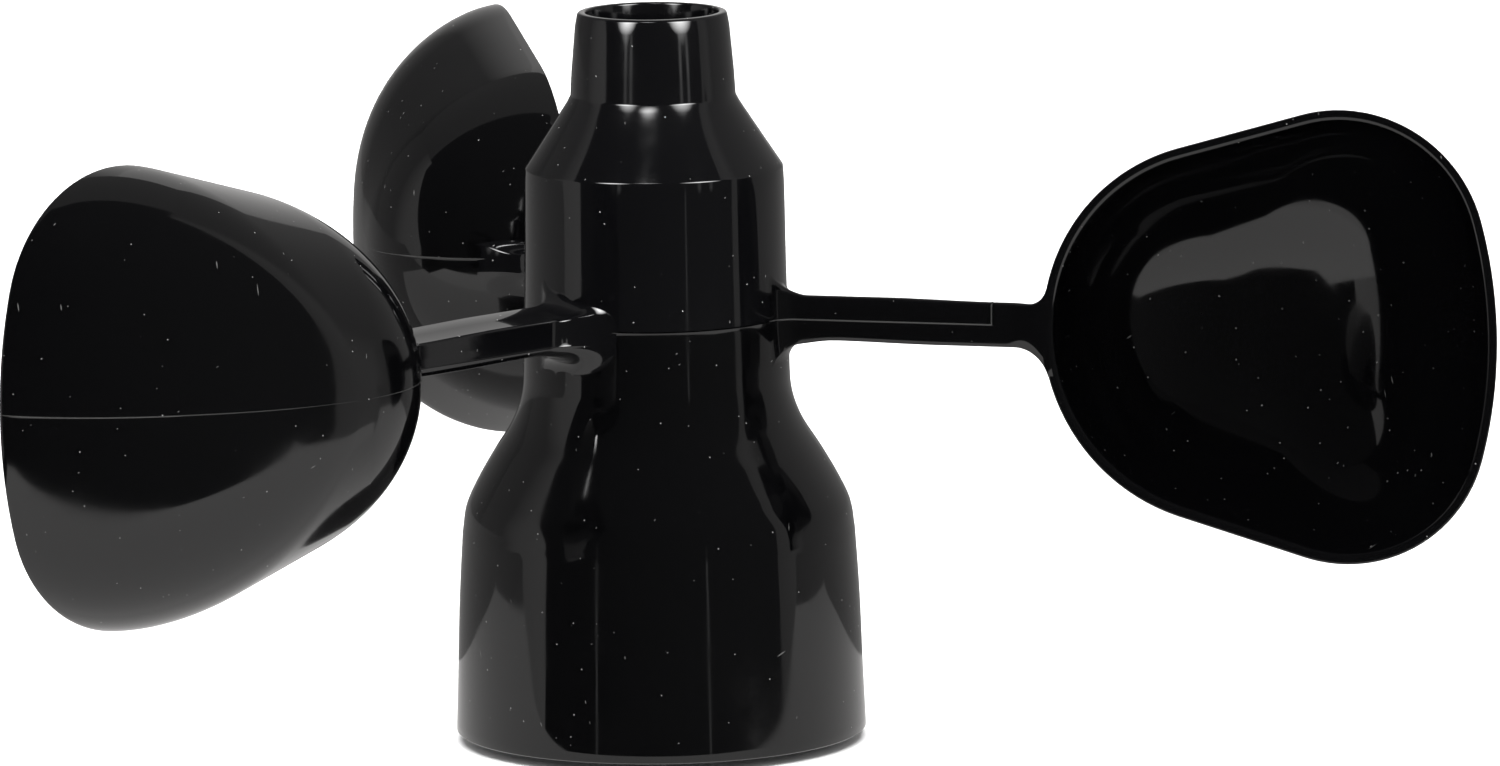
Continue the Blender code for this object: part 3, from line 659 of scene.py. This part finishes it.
def switch_glass():
    """Green tinted glass, slightly uneven."""
    made, tree, shader = new_material("tinted_glass")
    shader.inputs["Transmission Weight"].default_value = 0.8
    dress(tree, shader, mixed(tree, noise(tree, 500, 2.0), (0.2, 0.36, 0.28), (0.3, 0.46, 0.36)),
          between(tree, noise(tree, 800, 2.0), 0.3, 0.7, 0.03, 0.08), noise(tree, 300, 1.0), 0.00001)
    return made


def pale_floor():
    """Smooth pale board with the least unevenness."""
    made, tree, shader = new_material("pale_floor")
    dress(tree, shader, mixed(tree, noise(tree, 6, 3.0), (0.89, 0.89, 0.89), (0.91, 0.91, 0.91)),
          between(tree, noise(tree, 40, 2.0), 0.3, 0.7, 0.65, 0.75), noise(tree, 300, 2.0), 0.00002)
    return made


def looks_by_slot():
    """A material for each of the record's slots."""
    return {
        "black_plastic": black_plastic(),
        "steel": metal("turned_steel", (0.6, 0.6, 0.62), (0.42, 0.42, 0.43), 0.26, 1.0),
        "bearing_steel": metal("ground_steel", (0.5, 0.51, 0.53), (0.4, 0.41, 0.43), 0.14, 0.3),
        "brass": metal("turned_brass", (0.75, 0.52, 0.2), (0.5, 0.33, 0.12), 0.28, 1.0),
        "magnet_nickel": metal("nickel_plate", (0.65, 0.63, 0.58), (0.5, 0.48, 0.44), 0.18),
        "grey_plastic": matt("grained_grey_plastic", (0.1, 0.1, 0.11), (0.14, 0.14, 0.15), 0.5,
                             2600, 0.00003),
        "rubber": matt("matt_rubber", (0.014, 0.014, 0.014), (0.026, 0.026, 0.026), 0.75,
                       1500, 0.00004),
        "circuit_board": circuit_board(),
        "switch_glass": switch_glass(),
    }


def dress_frame(looks):
    """Gives each of the frame's own nodes the look of its material slot."""
    for row in frame["record"]["subparts"]:
        materials = frame["nodes"][row["node"]].data.materials
        materials.clear()
        materials.append(looks[row["material_slot"]])


def attach(obj, body, look, node_name):
    """Makes a piece ride on a body in place of a CAD node, with its look."""
    obj.data.materials.append(look)
    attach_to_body(obj, body)
    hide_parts(node_name)


# Studio


def in_studio(x, y, z=0.0):
    """A place in mm in the studio's axes, whose -Y points at the camera, in the frame's metres."""
    a = radians(CAMERA_AZIMUTH)
    return (x * cos(a) - y * sin(a)) * MM, (x * sin(a) + y * cos(a)) * MM, z * MM


def glow():
    """Plain warm white light, as bright as the mesh's own radiance attribute says."""
    made = bpy.data.materials.new("board_light")
    made.use_nodes = True
    tree = made.node_tree
    tree.nodes.clear()
    level = node(tree, "Attribute", {"attribute_name": "radiance"}).outputs["Fac"]
    light = node(tree, "Emission", Color=(1, 0.985, 0.975, 1), Strength=level)
    node(tree, "OutputMaterial", Surface=light.outputs["Emission"])
    return made


def board(name, look, corners, radiances):
    """A board of the light box, which only shows in the gloss, with a radiance at each corner."""
    mesh = bpy.data.meshes.new(name)
    mesh.from_pydata([in_studio(*corner) for corner in corners], [], [range(len(corners))])
    levels = mesh.attributes.new("radiance", "FLOAT", "POINT")
    for level, radiance in zip(levels.data, radiances):
        level.value = radiance
    mesh.materials.append(look)
    obj = bpy.data.objects.new(name, mesh)
    bpy.context.scene.collection.objects.link(obj)
    obj.visible_camera = False
    obj.visible_diffuse = False
    obj.visible_shadow = False


def floor_board(name, look, xs, ys, z, front, back):
    """A level board with a radiance along its front edge and one along its back edge."""
    corners = [(xs[0], ys[0], z), (xs[1], ys[0], z), (xs[1], ys[1], z), (xs[0], ys[1], z)]
    board(name, look, corners, (front, front, back, back))


def wall(name, look, x, stops, top, lean):
    """An upright side board in strips from front to back: (y, radiance) at each stop. The front
    edge leans back by lean at the top."""
    for number, ((y0, near), (y1, far)) in enumerate(zip(stops, stops[1:])):
        shift = lean if number == 0 else 0
        corners = [(x, y0, BOARD_Z), (x, y1, BOARD_Z), (x, max(y1, y0 + shift), top),
                   (x, y0 + shift, top)]
        board(f"{name}_{number}", look, corners, (near, far, far, near))
        corners = [(x, y0, WALL_LOW_Z), (x, y1, WALL_LOW_Z), (x, y1, BOARD_Z), (x, y0, BOARD_Z)]
        board(f"{name}_{number}_below", look, corners, (near, far, far, near))


def light_box():
    """A table with a pale sheet and an apron, walls, a back and a ceiling round the object, in mm
    in the studio's axes, open to the camera."""
    look = glow()
    right, left, back, top = 445, -1500, 1300, 1500
    ceiling_front = 110
    edge, sheet_side, sheet_back, sheet_z = -33, 195, 52, -0.6
    apron_side, apron_front, apron_z = 270, -212, -40
    floor_board("sheet", look, (-sheet_side, sheet_side), (edge, sheet_back), sheet_z, 0.92, 0.66)
    floor_board("table", look, (left, right), (edge, back), BOARD_Z, 0.27, 0.22)
    floor_board("apron", look, (-apron_side, apron_side), (apron_front, edge), apron_z, 1.2, 1.0)
    board("sheet_edge", look, [(-sheet_side, edge, apron_z), (sheet_side, edge, apron_z),
                               (sheet_side, edge, sheet_z), (-sheet_side, edge, sheet_z)], [0.9] * 4)
    left_front = left / np.tan(radians(68.5))  # seen from the hub, 68.5 degrees off the camera
    wall("left_wall", look, left, [(left_front, 0.7), (0, 0.5), (420, 0.21), (back, 0.16)], top, 700)
    wall("right_wall", look, right, [(-150, 0.38), (-45, 0.44), (20, 0.27), (back, 0.2)], top, 100)
    panels = [(left, -420, (0.13, 0.17, 0.15, 0.1)), (-420, 0, (0.17, 0.6, 0.7, 0.15)),
              (0, right, (0.6, 0.22, 0.9, 0.9))]
    for number, (x0, x1, radiances) in enumerate(panels):
        board(f"back_{number}", look, [(x0, back, BOARD_Z), (x1, back, BOARD_Z), (x1, back, top),
                                       (x0, back, top)], radiances)
    board("ceiling", look, [(left, ceiling_front, top), (right, ceiling_front, top),
                            (right, back, top), (left, back, top)], (0.22, 0.28, 0.2, 0.15))


def highlight(name, azimuth, elevation, width, height, radiance, receivers):
    """A soft patch of light in the dark opening, aimed at the hub's cone, for some pieces only."""
    data = bpy.data.lights.new(name, "AREA")
    data.shape = "RECTANGLE"
    data.size = width * MM
    data.size_y = height * MM
    data.energy = radiance * data.size * data.size_y * pi
    data.use_nodes = True
    tree = data.node_tree
    where = node(tree, "NewGeometry").outputs["Parametric"]
    far = node(tree, "VectorMath", {"operation": "DISTANCE"}, Vector=where)
    far.inputs[1].default_value = (0.5, 0.5, 0)
    fade = between(tree, far.outputs["Value"], 0.5, 0.1)
    tree.links.new(fade, tree.nodes["Emission"].inputs["Strength"])
    lamp = bpy.data.objects.new(name, data)
    bpy.context.scene.collection.objects.link(lamp)
    a, e = radians(azimuth), radians(elevation)
    out = LAMP_DISTANCE * cos(e)
    lamp.location = in_studio(out * sin(a), -out * cos(a), LAMP_AIM_Z + LAMP_DISTANCE * sin(e))
    to_light = lamp.location - Vector((0, 0, LAMP_AIM_Z * MM))
    lamp.rotation_mode = "QUATERNION"
    lamp.rotation_quaternion = to_light.to_track_quat("Z", "Y")
    lamp.visible_camera = False
    lamp.light_linking.receiver_collection = receivers


def linked(name, pieces):
    """A collection of pieces that a lamp lights."""
    made = bpy.data.collections.new(name)
    for piece in pieces:
        made.objects.link(bpy.data.objects[piece])
    return made


def make_highlights(strips_on, lamps_on):
    """Soft lamps in the opening: to each side two upright streaks, a fine line and a hot lamp over
    them, and one small hot lamp and one faint one high in front."""
    strips = linked("strip_lit", strips_on)
    lamps = linked("lamp_lit", lamps_on)
    for side, streaks, line, azimuth, width in (("left", (-39, -31), -36, -40, 330),
                                                ("right", (40, 51), 27, 45, 400)):
        for number, streak in enumerate(streaks):
            highlight(f"{side}_streak_{number}", streak, 4, 60, 170, 1.2, lamps)
        highlight(f"{side}_line", line, -9, 16, 230, 0.6, strips)
        highlight(f"{side}_lamp", azimuth, 28, width, 480, 26, lamps)
    highlight("front_lamp", -8, 50, 240, 90, 20, lamps)
    highlight("front_glow", -16, 61, 60, 50, 0.3, lamps)


def make_floor():
    """The floor that the camera sees, which stays out of the object's gloss."""
    bpy.ops.mesh.primitive_plane_add(size=FLOOR_SIZE * MM, location=(0, 0, FLOOR_Z * MM))
    floor = bpy.context.object
    floor.name = "floor"
    floor.data.materials.append(pale_floor())
    floor.visible_glossy = False


def make_lights():
    """Soft light from above for the floor and the pieces inside."""
    data = bpy.data.lights.new("soft_top", "AREA")
    data.shape = "DISK"
    data.size = TOP_LIGHT_SIZE * MM
    data.energy = TOP_LIGHT_WATTS
    lamp = bpy.data.objects.new("soft_top", data)
    bpy.context.scene.collection.objects.link(lamp)
    lamp.location = (0, 0, TOP_LIGHT_Z * MM)
    lamp.visible_glossy = False
    lamp.visible_camera = False


def make_world():
    """Pale for the camera and for matt surfaces, a dim room in the object's gloss."""
    world = bpy.data.worlds.new("studio")
    bpy.context.scene.world = world
    world.use_nodes = True
    tree = world.node_tree
    towards = node(tree, "TexCoord").outputs["Generated"]
    across = node(tree, "VectorMath", {"operation": "DOT_PRODUCT"}, Vector=towards)
    across.inputs[1].default_value = in_studio(1 / MM, 0)
    room = between(tree, across.outputs["Value"], -0.8, 0.8, 0.03, 0.08)
    glossy = node(tree, "LightPath").outputs["Is Glossy Ray"]
    mix = node(tree, "Mix", {"data_type": "RGBA"}, Factor=glossy, A=(0.9, 0.9, 0.9, 1), B=room)
    tree.links.new(mix.outputs["Result"], tree.nodes["Background"].inputs["Color"])


def make_camera():
    """The camera, aimed a little off the middle of the arms' height on the axis."""
    a, e = radians(CAMERA_AZIMUTH), radians(CAMERA_ELEVATION)
    back = Vector((sin(a) * cos(e), -cos(a) * cos(e), sin(e)))
    lens = bpy.data.cameras.new("camera")
    lens.lens = CAMERA_LENS
    lens.sensor_width = 36
    lens.clip_start = 0.01
    camera = bpy.data.objects.new("camera", lens)
    bpy.context.scene.collection.objects.link(camera)
    camera.location = Vector((0, 0, ARM_Z * MM)) + back * CAMERA_DISTANCE
    camera.rotation_mode = "QUATERNION"
    look = back.to_track_quat("Z", "Y")
    roll = Quaternion((0, 0, 1), radians(CAMERA_ROLL))
    target = Vector((TARGET_RIGHT, TARGET_UP, -CAMERA_DISTANCE))
    aim = target.rotation_difference(Vector((0, 0, -1)))
    camera.rotation_quaternion = look @ roll @ aim
    bpy.context.scene.camera = camera


LOOKS = looks_by_slot()
BLACK = LOOKS["black_plastic"]
dress_frame(LOOKS)
attach(hub_upper(), "rotor", BLACK, "hub_upper")
attach(hub_bell(), "rotor", BLACK, "hub_bell")
for n in range(1, ARMS + 1):
    attach(arm(n), "rotor", BLACK, f"arm_{n}")
    attach(cup(n), "rotor", BLACK, f"cup_{n}")
    attach(tang(n), "rotor", BLACK, f"cup_{n}")

make_floor()
make_lights()
make_world()
light_box()
make_highlights(("hub_upper_shell", "hub_bell_shell"),
                ("hub_upper_shell", "arm_3_bar", "cup_2_tang"))
make_camera()
bpy.context.scene.view_settings.view_transform = "Standard"
